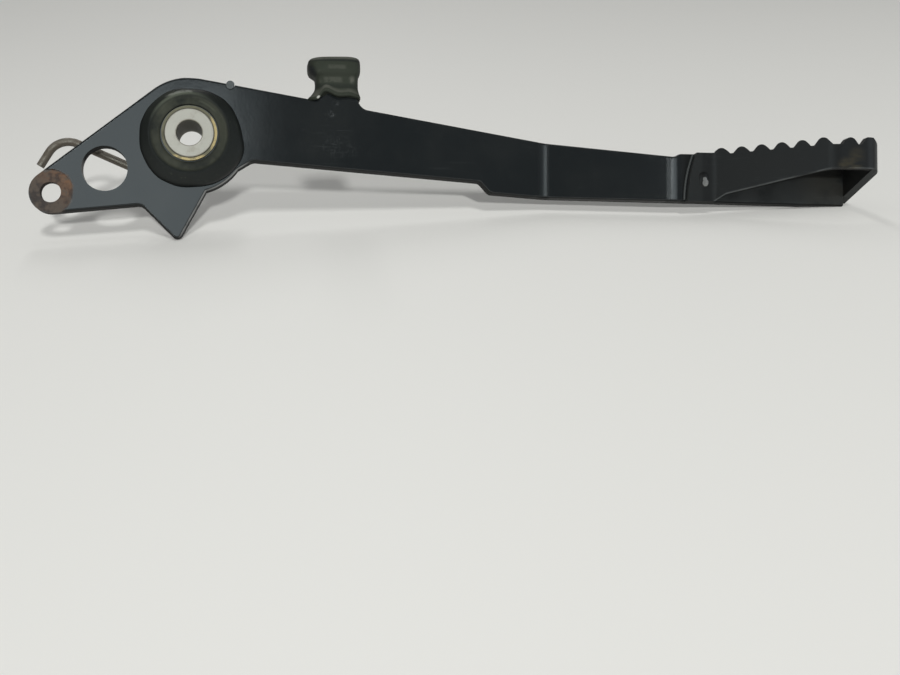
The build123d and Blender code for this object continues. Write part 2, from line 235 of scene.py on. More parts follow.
def leverPaint():
    f = Finish("leverPaint")
    zone, amount = paint["zones"], paint["amounts"]
    nx, ny, nz = f.normal()
    cloud = f.noise(f.p, 0.028, 4.0)
    mottle = f.noise(f.p, 0.006, 4.0, 0.6)
    grain = f.noise(f.p, 0.0013, 3.0, 0.6)
    fine = f.noise(f.p, 0.0004, 2.0)

    # rounded rims: the plate's faces look along Y up to the first bend, and after it only height tells
    bent = f.span(f.x, *zone["bent"])
    faceRim = ny * ny * (1.0 - ny * ny) * 4.0
    heightRim = nz * nz * (1.0 - nz * nz) * 4.0
    rim = faceRim * (1.0 - bent) + heightRim * bent
    down = f.span(nz, -0.25, -0.6)
    toe = f.span(f.x, *zone["toe"])
    strip = toe * f.span(f.y, *zone["strip"])

    # dust settles on what faces up, and a thin film lies all over
    film = f.span(cloud, 0.42, 0.72) * amount["film"] + f.span(mottle, 0.5, 0.8) * amount["blotches"]
    settled = f.span(nz, 0.45, 0.95) * f.span(mottle, 0.25, 0.65) * amount["settled"]
    colour = f.mix(film + settled, paint["colour"], paint["dust"])
    # downward faces darker: partly road dirt, partly painted shade; the toe darker with dirt
    colour = f.mix(f.most(down, toe * amount["toeDirt"]), colour, paint["under"])

    # hairline scratches in two directions, scuffs and two specks below the lug
    hairs = f.most(
        f.span(f.noise(f.stretch((45, 300, 2600), (0, 0.35, 0)), 1.0, 1.0), 0.70, 0.76),
        f.span(f.noise(f.stretch((60, 300, 3000), (0, -0.9, 0), (7, 3, 1)), 1.0, 1.0), 0.72, 0.78))
    hairs = hairs * f.span(cloud, 0.35, 0.65)
    strokes = f.most(
        f.span(f.noise(f.stretch((1400, 600, 380), (0, 0.5, 0)), 1.0, 2.0), 0.50, 0.85),
        f.span(f.noise(f.stretch((420, 600, 1500), (0, 0.3, 0), (3, 1, 8)), 1.0, 2.0), 0.50, 0.86))
    scuffs = f.spots(paint["scuffs"]) * strokes
    specks = f.spots(paint["specks"]) * f.span(grain, 0.42, 0.6)
    marks = f.most(hairs * amount["hairs"], scuffs * amount["scuffs"], specks * amount["specks"])
    colour = f.mix(marks, colour, paint["scuff"])

    # mud on the toe's nose, drawn out sideways, and a little in the loop's corner
    smear = f.noise(f.stretch((90, 200, 420)), 1.0, 3.0)
    nose = f.most(f.spots(paint["mudLow"]), f.spots(paint["mudHigh"]) * amount["mudHigh"])
    nose = nose * f.span(smear, 0.36, 0.58)
    corner = f.spots(paint["mudCorner"]) * f.span(cloud + mottle, 0.8, 1.2)
    muddy = f.most(nose * amount["mudNose"], corner * amount["mudCorner"])
    colour = f.mix(muddy, colour, paint["mud"])

    # paint rubbed thin along the rims
    worn = rim * f.span(mottle + grain * 0.35, 0.62, 0.86) * (1.0 - down)
    colour = f.mix(worn * amount["rims"], colour, paint["scuff"])

    # painted highlights, a lighter colour where edges catch the light: along the strip's lower edge (partly
    # wear too), under the loop wall's end, on the tab's end and on the nose's corner
    edgeHeight = f.least(*[(f.x - x) * slope + z for x, slope, z in paint["edgeLines"]], paint["edgeTop"])
    lowEdgeWearAndHighlight = strip * f.span(f.z - edgeHeight, 0.0006, 0.0001)
    lowEdgeWearAndHighlight = lowEdgeWearAndHighlight * f.span(ny, -0.2, -0.5) * f.span(mottle, 0.25, 0.6)
    wallEndHighlight = f.span(f.x, *zone["wallEndHighlight"]) * f.span(nz, -0.2, -0.5)
    tabEndHighlight = f.band(f.x, *zone["tab"]) * f.span(f.y, *zone["tabFace"]) * f.span(nx, 0.1, -0.4)
    noseCornerHighlight = f.span(f.x, *zone["cornerAlong"]) * f.span(f.y, *zone["cornerOut"])
    edges = f.most(
        lowEdgeWearAndHighlight * amount["lowEdgeWearAndHighlight"], wallEndHighlight * amount["wallEndHighlight"],
        tabEndHighlight * amount["tabEndHighlight"], noseCornerHighlight * amount["corner"])
    colour = f.mix(edges, colour, paint["worn"])

    # bare steel at the throat's edge and in small chips
    throat = f.spots(paint["throat"]) * f.span(nx, 0.05, 0.3)
    bareEdge = rim * throat * f.span(mottle + grain * 0.5, 0.42, 0.72) * f.span(nz, -0.93, -0.75)
    chips = f.span(grain, 0.70, 0.74) * f.span(cloud, 0.48, 0.66) * f.most(rim, 0.08) * (1.0 - down)
    bare = f.most(bareEdge, chips * amount["chips"])
    colour = f.mix(bare * amount["steel"], colour, paint["steel"])

    # rusted seat round the clevis hole, more orange at its upper right
    holeX, holeZ = paint["clevis"]
    away = f.fromAxis(holeX, holeZ)
    seat = f.span(away + (mottle - 0.5) * 2.4, paint["bareDisc"] + 0.6, paint["bareDisc"] - 0.9)
    across = (f.x - holeX * mm) + (f.z - holeZ * mm)
    warm = f.span(across + (mottle - 0.5) * 0.012, -0.004, 0.008)
    rusty = f.mix(warm * f.span(grain, 0.3, 0.65), paint["oldRust"], paint["rust"])
    rusty = f.mix(f.span(mottle + (grain - 0.5) * 0.8, 0.40, 0.62) * 0.85, rusty, paint["pits"])
    colour = f.mix(seat, colour, rusty)

    rough = paint["rough"] + (cloud - 0.5) * 0.03 + (mottle - 0.5) * 0.02 + settled * 0.8 + muddy * 0.4
    rough = rough + seat * 0.45 + marks * 0.15 + down * paint["dull"] + toe * paint["toeDull"]
    for middle, end, full, dull in paint["bends"]:
        rough = rough + f.span(abs(f.x - middle), end, full) * dull
    rough = rough + (1.0 - bent) * f.span(abs(ny), 0.6, 0.25) * paint["sideDull"]
    wavy = f.bump(cloud, 0.15, 0.5)
    peel = f.bump(f.noise(f.p, 0.0009, 2.0), paint["peel"], 0.5, wavy)
    pitted = f.bump(grain * seat + fine * 0.05 + muddy * mottle, 0.16, 0.6, peel)
    chipped = f.bump(1.0 - bare, 0.05, 0.5, pitted)
    return f.done(
        Base_Color=colour, Roughness=rough, Metallic=bare * 0.6, Normal=chipped,
        Specular_IOR_Level=paint["gloss"])


# Bare metals: the pivot sleeve, its bronze bushes, the spring wire and the plug weld
metals = {
    "sleeve": {
        "colour": (0.365, 0.358, 0.318), "stain": (0.14, 0.136, 0.108), "rough": 0.42,
        "boreShade": (4.5, 4.15), "skirt": (7.35, 7.65)},  # radii in mm where each begins and is full
    "bush": {
        # gap: the painted shade in the gap by the sleeve, and also the colour of dark grime blots
        "colour": (0.44, 0.35, 0.175), "stain": (0.086, 0.084, 0.056), "gap": (0.014, 0.013, 0.009),
        "rough": 0.36, "gapAt": (8.05, 7.85), "rightAt": (0.0064, 0.0074), "lowAt": (-0.0066, -0.0078)},
    "wire": {
        "colour": (0.24, 0.222, 0.188), "stain": (0.036, 0.028, 0.020), "rough": 0.40,
        "blot": 0.007, "drawn": 0.03, "tip": (0.0020, 0.0005)},
    "plug": {
        "colour": (0.21, 0.215, 0.21), "stain": (0.07, 0.069, 0.065), "rough": 0.42,
        "blot": 0.002, "drawn": 0.02,
        "bare": [((164.0, -24.4, -15.1), 0.7, 0.7), ((163.7, -24.4, -13.9), 0.3, 0.7)]},
}


def turnedSteel():
    s = metals["sleeve"]
    f = Finish("sleeveSteel")
    away = f.fromAxis(0, 0)
    rings = f.noise(f.node("ShaderNodeCombineXYZ", None, {0: away}), 0.16, 2.0)  # lathe marks, by radius
    blot = f.noise(f.p, 0.0035, 4.0, 0.62)
    speck = f.noise(f.p, 0.0006, 2.0)
    boreShade = f.span(away, *s["boreShade"])
    skirt = f.span(away, *s["skirt"])
    # painted shade inside the bore; the skirt at the outer rim darker, its yellowish plating tone with
    # painted shade at the chamfer
    stained = f.most(f.span(blot, 0.52, 0.75) * 0.35, boreShade * 0.75, skirt * 0.6)
    colour = f.mix(stained, s["colour"], s["stain"])
    colour = f.mix(f.span(rings, 0.45, 0.7) * 0.2, colour, tuple(0.6 * c for c in s["colour"]))
    rough = s["rough"] + (blot - 0.5) * 0.2 + (rings - 0.5) * 0.1 + stained * 0.2
    cut = f.bump(rings, 0.012, 0.6)
    return f.done(
        Base_Color=colour, Roughness=rough, Metallic=0.6 - stained * 0.4,
        Normal=f.bump(speck, 0.01, 0.4, cut))


def stainedGlintedBronze():  # stained all round, with painted gold glints at the right and at the bottom
    s = metals["bush"]
    f = Finish("bushBronze")
    blot = f.noise(f.p, 0.003, 4.0, 0.62)
    drawn = f.noise(f.p, 0.0004, 3.0)
    # painted highlight: gold at the right and at the bottom, where the ring catches the light
    paler = f.most(f.span(f.x, *s["rightAt"]), f.span(f.z, *s["lowAt"])) * f.span(blot, 0.3, 0.5)
    colour = f.mix(paler, s["stain"], s["colour"])
    colour = f.mix(f.span(blot, 0.5, 0.75) * (1.0 - paler) * 0.5, colour, s["gap"])
    # painted shade: very dark in the gap next to the sleeve
    gap = f.span(f.fromAxis(0, 0), *s["gapAt"])
    colour = f.mix(gap, colour, s["gap"])
    return f.done(
        Base_Color=colour, Roughness=s["rough"] + (drawn - 0.5) * 0.2 + (1.0 - paler) * 0.15,
        Metallic=paler * 0.6 * (1.0 - gap) + 0.2, Normal=f.bump(drawn, 0.02, 0.5))


def stainedMetal(name, s):
    f = Finish(name)
    blot = f.noise(f.p, s["blot"], 4.0, 0.62)
    drawn = f.noise(f.p, s["blot"] * 0.12, 3.0)
    stained = f.span(blot + (drawn - 0.5) * 0.3, 0.44, 0.72) * 0.85
    colour = f.mix(stained, s["colour"], s["stain"])
    bright = 0.8 - stained * 0.6
    rough = s["rough"] + (drawn - 0.5) * 0.2 + stained * 0.25
    if "bare" in s:  # painted over, and bare where the paint came off
        painted = 1.0 - f.span(f.spots(s["bare"]) + (drawn - 0.5) * 0.5, 0.3, 0.6)
        colour = f.mix(painted, colour, paint["under"])
        bright = bright * (1.0 - painted)
    if "tip" in s:  # the wire's downward faces are darker as painted shade, and the short leg's end in the plate's notch took the paint
        # painted shade: the wire's downward faces darker
        colour = f.mix(f.span(f.normal()[2], 0.3, -0.6) * 0.65, colour, s["stain"])
        painted = f.span(f.y, *s["tip"])
        colour = f.mix(painted, colour, paint["scuff"])
        bright = bright * (1.0 - painted)
        rough = rough * (1.0 - painted) + painted * paint["rough"]
    lines = f.bump(drawn, s["drawn"], 0.5)
    return f.done(Base_Color=colour, Roughness=rough, Metallic=bright, Normal=lines)


# Rubber of the seals and the buffer
rubbers = {
    "seal": {
        "colour": (0.0036, 0.0047, 0.0042), "lip": (0.0225, 0.0242, 0.0170),
        "dust": (0.066, 0.075, 0.057), "paintedGlint": (0.092, 0.099, 0.085), "rough": 0.55, "gloss": 0.35},
    "buffer": {
        "colour": (0.0145, 0.0174, 0.0126), "dark": (0.0056, 0.0068, 0.0068),
        "dust": (0.066, 0.068, 0.058), "chip": (0.25, 0.255, 0.235), "rough": 0.60, "gloss": 0.3,
        # soft spots, as a point, a radius and a soft edge in mm
        "darkEnd": [((38.2, -5.0, 21.2), 1.2, 1.8)],
        "patches": [((52.0, -6.0, 18.7), 0.5, 1.3), ((40.9, -5.8, 18.2), 0.3, 1.2)],
        "chipAt": [((40.9, -6.2, 12.7), 0.45, 0.5)],
        # bands of height and soft bars, in metres
        "underRimShade": (0.0242, 0.0247, 0.0251, 0.0256), "waistShade": (0.0156, 0.0162, 0.0170, 0.0178),
        "streak": ((0.0467, 0.0034, 0.0022), (0.0226, 0.0009, 0.0004)),
        "middle": ((0.0455, 0.0035, 0.0022), (0.0187, 0.0011, 0.0005))},
}


def sealRubber():
    s = rubbers["seal"]
    f = Finish("sealRubber")
    cloud = f.noise(f.p, 0.009, 4.0, 0.6)
    grain = f.noise(f.p, 0.0009, 3.0, 0.6)
    pores = f.noise(f.p, 0.00035, 2.0)
    away = f.fromAxis(0, 0) + (cloud - 0.5) * 0.6
    inner = f.span(away, 12.6, 11.6) * f.span(cloud, 0.25, 0.6)
    colour = f.mix(inner * 0.8, s["colour"], s["lip"])
    # paler on the ridge and in a haze at the upper left, partly dust and partly painted sheen from the
    # light there; a paler arc at the right; and one painted glint at the top
    upper = f.span(f.z, 0.002, 0.013) * f.span(f.x, 0.010, -0.004)
    ridgeDustAndSheen = f.band(away, 11.9, 12.6, 12.9, 13.5) * upper * 0.65
    upperDustAndSheen = upper * f.span(cloud, 0.3, 0.7) * 0.22
    paler = f.band(away, 10.2, 10.6, 10.8, 11.2) * f.span(f.z, 0.006, 0.008) * f.span(f.x, 0.002, 0.004)
    speckled = f.span(grain + (cloud - 0.5) * 0.5, 0.62, 0.8) * 0.2
    dustAndSheen = f.most(ridgeDustAndSheen, paler * 0.25, upperDustAndSheen, speckled)
    colour = f.mix(dustAndSheen, colour, s["dust"])
    paintedGlint = f.band(away, 12.7, 13.0, 13.6, 14.0) * f.span(f.z, 0.0110, 0.0124) * f.span(f.x, 0.0014, 0.0)
    colour = f.mix(paintedGlint * f.span(grain, 0.3, 0.5), colour, s["paintedGlint"])
    cracks = f.bump(cloud + grain * 0.4, 0.22, 0.4)
    return f.done(
        Base_Color=colour, Roughness=s["rough"] + dustAndSheen * 0.3 + (grain - 0.5) * 0.15,
        Normal=f.bump(pores, 0.02, 0.5, cracks), Specular_IOR_Level=s["gloss"])


def bufferRubber():
    s = rubbers["buffer"]
    f = Finish("bufferRubber")
    ny, nz = f.normal()[1:]
    cloud = f.noise(f.p, 0.007, 4.0, 0.6)
    grain = f.noise(f.p, 0.0009, 3.0, 0.6)
    pores = f.noise(f.p, 0.00035, 2.0)
    # painted shade under the top rim and round the waist below the head, and darker at the left end
    underRimShade = f.band(f.z, *s["underRimShade"]) * f.span(nz, 0.5, 0.3)
    waistShade = f.band(f.z, *s["waistShade"])
    colour = f.mix(f.most(underRimShade * 0.7, waistShade * 0.4, f.spots(s["darkEnd"])), s["colour"], s["dark"])
    # paler on the ledges, partly dust and partly painted light on the tops; a lighter streak on the head
    # and lighter patches below it, on faces toward the front
    paler = f.most(f.bar(*s["streak"]) * 0.25, f.spots(s["patches"]) * 0.75, f.bar(*s["middle"]) * 0.3)
    paler = paler * f.span(ny, -0.3, -0.7) * f.span(grain, 0.25, 0.5)
    # upward faces paler: partly dust, partly painted light on the tops
    ledgeDustAndTopLight = f.span(nz, 0.15, 0.6) * f.span(cloud, 0.15, 0.5) * 0.7
    speckled = f.span(grain + (cloud - 0.5) * 0.6, 0.6, 0.85) * 0.25
    dustAndSheen = f.most(ledgeDustAndTopLight, speckled, paler)
    colour = f.mix(dustAndSheen, colour, s["dust"])
    colour = f.mix(f.spots(s["chipAt"]), colour, s["chip"])  # on the hanging flap
    cracks = f.bump(cloud + grain * 0.5, 0.25, 0.4)
    return f.done(
        Base_Color=colour, Roughness=s["rough"] + dustAndSheen * 0.3 + (grain - 0.5) * 0.15,
        Normal=f.bump(pores, 0.02, 0.5, cracks), Specular_IOR_Level=s["gloss"])


finishes = {
    "paint": leverPaint(),
    "sleeve": turnedSteel(),
    "bush": stainedGlintedBronze(),
    "wire": stainedMetal("springWire", metals["wire"]),
    "plug": stainedMetal("plugWeld", metals["plug"]),
    "seal": sealRubber(),
    "buffer": bufferRubber(),
}


def wear(finish, *names):
    for name in names:
        for holder in nodes[name].material_slots:
            holder.material = finishes[finish]


wear("paint", "lever_arm", "toe_loop", "pivot_tube")
wear("bush", "front_bush", "rear_bush")
wear("sleeve", "pivot_sleeve")
wear("seal", "rear_seal")
print("finishes set")


# Pieces that follow a path are grown by Geometry Nodes along edges laid out here, then kept as plain meshes
class Form(Bench):
    def __init__(self, name, sizes):
        super().__init__(bpy.data.node_groups.new(name, "GeometryNodeTree"))
        face = self.tree.interface
        face.new_socket("Path", in_out="INPUT", socket_type="NodeSocketGeometry")
        self.sizes = {}
        for size, value in sizes.items():
            socket = face.new_socket(size, in_out="INPUT", socket_type="NodeSocketFloat")
            self.sizes[socket.identifier] = value
        face.new_socket("Piece", in_out="OUTPUT", socket_type="NodeSocketGeometry")
        self.start = self.node("NodeGroupInput")

    def size(self, name):
        return self.other(self.start, name)

    def path(self, step):
        curve = self.node("GeometryNodeMeshToCurve", None, {"Mesh": self.start})
        return self.node("GeometryNodeResampleCurve", {"mode": "LENGTH"}, {"Curve": curve, "Length": step})

    def ring(self, sides):
        radius = self.size("Width") * 0.5
        return self.node("GeometryNodeCurvePrimitiveCircle", None, {"Resolution": sides, "Radius": radius})

    def sweep(self, path, ring):
        return self.node(
            "GeometryNodeCurveToMesh", None, {"Curve": path, "Profile Curve": ring, "Fill Caps": True})

    def end(self, mesh, material):
        smooth = self.node("GeometryNodeSetShadeSmooth", None, {"Geometry": mesh})
        real = self.node("GeometryNodeRealizeInstances", None, {"Geometry": smooth})
        dressed = self.node("GeometryNodeSetMaterial", None, {"Geometry": real, "Material": material})
        self.node("NodeGroupOutput", None, {0: dressed})
        return self


def wireForm(name, sizes, material):  # round wire with flat ends
    g = Form(name, sizes)
    return g.end(g.sweep(g.path(g.size("Step")), g.ring(24)), material)


def beadForm(name, sizes, material):  # a weld bead with overlapping ripples
    g = Form(name, sizes)
    path = g.path(g.size("Pitch") * 0.1)
    length = g.node("GeometryNodeSplineParameter", None, None, "Length")
    path = g.node("GeometryNodeCaptureAttribute", {"keep": "along"}, {"Geometry": path, "along": length})
    factor = g.node("GeometryNodeSplineParameter", None, None, "Factor")
    ring = g.ring(20)
    ring = g.node("GeometryNodeCaptureAttribute", {"keep": "round"}, {"Geometry": ring, "round": factor})
    mesh = g.sweep(path, ring)
    # each ripple lags at the bead's sides and is a little uneven
    lag = g.node("ShaderNodeMath", {"operation": "COSINE"}, {0: g.other(ring, "round") * (2 * pi)})
    place = g.node("GeometryNodeInputPosition")
    uneven = g.node(
        "ShaderNodeTexNoise", {"noise_dimensions": "4D"},
        {"Vector": place, "W": g.size("Seed"), "Scale": 420.0, "Detail": 2.0})
    phase = g.other(path, "along") / g.size("Pitch") + lag * 0.4 + uneven * 0.7
    wave = abs(g.node("ShaderNodeMath", {"operation": "SINE"}, {0: phase * pi}))
    lift = (wave ** 0.7 - 0.6) * g.size("Ripple") + (uneven - 0.5) * g.size("Ripple") * 1.6
    normal = g.node("GeometryNodeInputNormal")
    out = g.node("ShaderNodeVectorMath", {"operation": "SCALE"}, {0: normal, "Scale": lift})
    return g.end(g.node("GeometryNodeSetPosition", None, {"Geometry": mesh, "Offset": out}), material)


def addPiece(name, mesh, material, body):
    piece = bpy.data.objects.new(name, mesh)
    bpy.context.collection.objects.link(piece)
    if material is not None:
        mesh.materials.append(material)
    if body:
        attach(piece, body)
    return piece


def evaluated(holder):  # the object's finished mesh; the object itself goes
    mesh = bpy.data.meshes.new_from_object(holder.evaluated_get(bpy.context.evaluated_depsgraph_get()))
    bpy.data.objects.remove(holder)
    return mesh


def grow(name, form, points, closed=False):
    mesh = bpy.data.meshes.new(name + "Path")
    edges = [(i, i + 1) for i in range(len(points) - 1)] + ([(len(points) - 1, 0)] if closed else [])
    mesh.from_pydata([Vector(p) * mm for p in points], edges, [])
    path = bpy.data.objects.new(name + "Path", mesh)
    bpy.context.collection.objects.link(path)
    modifier = path.modifiers.new(name, "NODES")
    modifier.node_group = form.tree
    for identifier, value in form.sizes.items():
        modifier[identifier] = value
    grown = evaluated(path)
    grown.name = name
    shell = bmesh.new()
    shell.from_mesh(grown)
    bmesh.ops.remove_doubles(shell, verts=shell.verts, dist=0.002 * mm)
    bmesh.ops.recalc_face_normals(shell, faces=shell.faces)
    for face in shell.faces:
        if len(face.verts) > 4:  # a cut end keeps its edge
            face.smooth = False
            for edge in face.edges:
                edge.smooth = False
    shell.to_mesh(grown)
    shell.free()
    return grown


def skin(rings, around, closed=False):  # faces between rings of points
    faces = []
    for i in range(rings if closed else rings - 1):
        low, high = i * around, (i + 1) % rings * around
        for k in range(around):
            n = (k + 1) % around
            faces.append((low + k, low + n, high + n, high + k))
    return faces


def solidMesh(name, points, faces, levels=0):  # points in mm, closed, with smooth outward faces
    mesh = bpy.data.meshes.new(name)
    mesh.from_pydata([Vector(p) * mm for p in points], [], faces)
    shell = bmesh.new()
    shell.from_mesh(mesh)
    bmesh.ops.remove_doubles(shell, verts=shell.verts, dist=0.002 * mm)
    bmesh.ops.recalc_face_normals(shell, faces=shell.faces)
    for face in shell.faces:
        face.smooth = True
    shell.to_mesh(mesh)
    shell.free()
    if levels:
        holder = bpy.data.objects.new(name + "Cage", mesh)
        bpy.context.collection.objects.link(holder)
        finer = holder.modifiers.new("finer", "SUBSURF")
        finer.levels = finer.render_levels = levels
        mesh = evaluated(holder)
    return mesh


def clamp(t):
    return min(1.0, max(0.0, t))


def ease(t):
    return t * t * (3 - 2 * t)


# Return spring: a short leg in the plate's notch, the coil, and the long leg with its hook
spring = {
    "wire": 2.694, "step": 0.5, "coilRadius": 15.5, "coilFront": 5.15, "pitch": 2.85, "turns": 2,
    "hook": (12.7, 16.487), "hookFront": -3.6, "hookBend": 2.15,
    "legAngle": 23.3, "leg": 33.4, "bendRadius": 7.3, "bendTurn": 82.5, "tail": 5.4,
}


def arc(centre, first, second, radius, turn, count):
    angles = [turn * i / count for i in range(1, count + 1)]
    return [centre + (first * cos(a) + second * sin(a)) * radius for a in angles]


def springPath():
    s = spring
    r, (hx, hz) = s["coilRadius"], s["hook"]
    reach = hypot(hx, hz)
    start = atan2(hz, hx) - acos(r / reach)
    sweep = start + radians(90 + s["legAngle"]) + 2 * pi * s["turns"]
    climb = s["pitch"] / (2 * pi)

    def coil(a):
        return Vector((r * cos(start - a), s["coilFront"] + climb * a, r * sin(start - a)))

    def along(a):
        return Vector((r * sin(start - a), climb, -r * cos(start - a))).normalized()

    knee = coil(0) - along(0) * sqrt(reach**2 - r**2)
    bend = s["hookBend"]
    path = [Vector((knee.x, s["hookFront"], knee.z)), Vector((knee.x, knee.y - bend, knee.z))]
    path += arc(path[-1] + along(0) * bend, -along(0), Vector((0, 1, 0)), bend, pi / 2, 8)
    turns = int(ceil(sweep / radians(4)))
    path += [coil(sweep * i / turns) for i in range(turns + 1)]
    ahead = along(sweep)
    tip = coil(sweep) + ahead * s["leg"]
    inward = ahead.cross(Vector((0, 1, 0))).normalized()
    turn = radians(s["bendTurn"])
    path.append(tip)
    path += arc(tip + inward * s["bendRadius"], -inward, ahead, s["bendRadius"], turn, 20)
    path.append(path[-1] + (ahead * cos(turn) + inward * sin(turn)) * s["tail"])
    return path


def makeSpring():
    sizes = {"Width": spring["wire"] * mm, "Step": spring["step"] * mm}
    mesh = grow("returnSpring", wireForm("springForm", sizes, finishes["wire"]), springPath())
    piece = addPiece("returnSpring", mesh, None, None)
    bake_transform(piece)
    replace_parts(piece, "return_spring")


makeSpring()
print("spring wound")

# Welds: a rippled ring round the pivot tube, a slim bead on the toe's seam, one at the loop's end, the plug
welds = {
    "ring": {"radius": 12.25, "at": 3.75, "width": 2.7, "pitch": 1.55, "ripple": 0.30, "seed": 3.0},
    "seam": {
        "foot": (157.9, -21.3), "low": -20.3, "high": -5.9, "root": -20.9, "lean": 42.06,
        "width": 1.3, "pitch": 1.0, "ripple": 0.10, "seed": 5.0},
    "end": {
        "at": (211.7, -15.0), "low": -19.0, "high": -5.9,
        "width": 2.5, "pitch": 1.4, "ripple": 0.26, "seed": 8.0},
    "plug": {
        "at": (163.4, -23.95, -14.0), "wide": 3.3, "tall": 5.1, "dome": 0.4, "deep": 1.2,
        "lump": 0.14, "lumpGrain": 1.1, "seed": 5.0, "rings": 9, "around": 36},
}


def layBead(name, w, points, closed=False):
    sizes = {size: w[size.lower()] * mm for size in ("Width", "Pitch", "Ripple")}
    sizes["Seed"] = w["seed"]
    mesh = grow(name, beadForm(name + "Form", sizes, finishes["paint"]), points, closed)
    return addPiece(name, mesh, None, "lever")


def rise(w, count=24):
    return [w["low"] + (w["high"] - w["low"]) * i / count for i in range(count + 1)]


def makeWelds():
    w = welds["ring"]
    angles = [radians(a) for a in range(0, 360, 3)]
    points = [(w["radius"] * cos(a), w["at"], w["radius"] * sin(a)) for a in angles]
    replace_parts(layBead("pivotWeld", w, points, True), "pivot_weld")
    w = welds["seam"]
    x, y = w["foot"]
    points = [(x + w["lean"] - sqrt(w["lean"] ** 2 - (z - w["root"]) ** 2), y, z) for z in rise(w)]
    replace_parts(layBead("toeSeamWeld", w, points), "toe_welds")
    w = welds["end"]
    layBead("toeEndWeld", w, [(*w["at"], z) for z in rise(w)])


def makePlug():  # a puddle of weld metal, domed and uneven, that fills the slot in the tab
    w = welds["plug"]
    rings, around = w["rings"], w["around"]
    half, longer = w["wide"] / 2, max(0.0, w["tall"] - w["wide"]) / 2
    points = []
    for i in range(rings + 1):
        t = i / rings
        for k in range(around):
            a = 2 * pi * k / around
            side = longer * (1 if sin(a) > 0 else -1) * (1 - t) * min(1.0, abs(sin(a)) * 4)
            px, pz = half * (1 - t) * cos(a), half * (1 - t) * sin(a) + side
            lump = noise.noise(Vector((px * w["lumpGrain"], pz * w["lumpGrain"], w["seed"]))) * w["lump"]
            lift = w["dome"] * sqrt(max(0.0, 1 - (1 - t) ** 2)) + lump * min(1.0, t * 3)
            points.append((px, -lift, pz))
    base = len(points)
    points += [(px, w["deep"], pz) for px, y, pz in points[:around]]
    faces = skin(rings + 1, around)
    for k in range(around):
        n = (k + 1) % around
        faces.append((base + k, base + n, n, k))
    faces.append(tuple(range(base, base + around)))
    mesh = solidMesh("plugWeld", [Vector(w["at"]) + Vector(p) for p in points], faces)
    addPiece("plugWeld", mesh, finishes["plug"], "lever")


makeWelds()
makePlug()
print("welds laid")

# Front seal: a turned rubber cup whose outer rim has gone out of round
seal = {
    "profile": [
        (9.1, -6.4), (9.1, -6.85), (9.4, -7.15), (10.2, -7.22), (11.0, -7.10), (11.6, -7.05),
        (12.1, -7.28), (12.6, -7.46), (13.1, -7.36), (13.6, -7.0), (14.5, -6.55), (15.4, -5.95),
        (16.0, -5.1), (16.2, -4.2), (16.1, -3.35), (15.8, -3.02), (13.8, -3.02), (11.72, -3.02),
        (11.68, -4.2), (11.68, -6.28), (10.4, -6.32)],
    # the rim's radius every 15 degrees, from the right over the top
    "rim": [
        16.7, 16.15, 16.05, 15.8, 15.4, 15.0, 14.7, 15.15, 15.3, 15.2, 15.55, 15.8,
        15.9, 16.1, 16.4, 16.8, 17.0, 16.95, 16.7, 16.85, 17.4, 17.6, 17.9, 17.8],
    "around": 144, "fixed": 12.0, "outer": 16.2, "rimWander": 0.16, "faceWander": 0.12,
    "rimGrain": 5.5, "rimSeed": 9.4, "faceGrain": 2.7, "faceSeed": 6.2,
    "back": -3.3, "backSoft": 2.0, "hub": 9.3, "hubSoft": 1.5,  # the face wanders clear of these
}


def rimRadius(angle):  # smooth between the rim's given radii
    rim = seal["rim"]
    at = angle / (2 * pi) * len(rim)
    i, t = int(at), at - int(at)
    a, b, c, d = (rim[(i + k) % len(rim)] for k in (-1, 0, 1, 2))
    return b + 0.5 * t * (c - a + t * (2 * a - 5 * b + 4 * c - d + t * (3 * (b - c) + d - a)))


def makeSeal():
    s = seal
    points = []
    for k in range(s["around"]):
        a = 2 * pi * k / s["around"]
        turn = Vector((cos(a), sin(a), 0))
        wander = s["rimWander"] * noise.noise(turn * s["rimGrain"] + Vector((0, 0, s["rimSeed"])))
        spread = rimRadius(a) - s["outer"] + wander
        dent = noise.noise(turn * s["faceGrain"] + Vector((0, 0, s["faceSeed"])))
        for r, y in s["profile"]:
            t = clamp((r - s["fixed"]) / (s["outer"] - s["fixed"]))
            front = clamp((s["back"] - y) / s["backSoft"]) * clamp((r - s["hub"]) / s["hubSoft"])
            rr = r + spread * ease(t)
            points.append((rr * cos(a), y + s["faceWander"] * dent * front, rr * sin(a)))
    mesh = solidMesh("frontSeal", points, skin(s["around"], len(s["profile"]), True), 1)
    piece = addPiece("frontSeal", mesh, finishes["seal"], "lever")
    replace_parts(piece, "front_seal")


makeSeal()

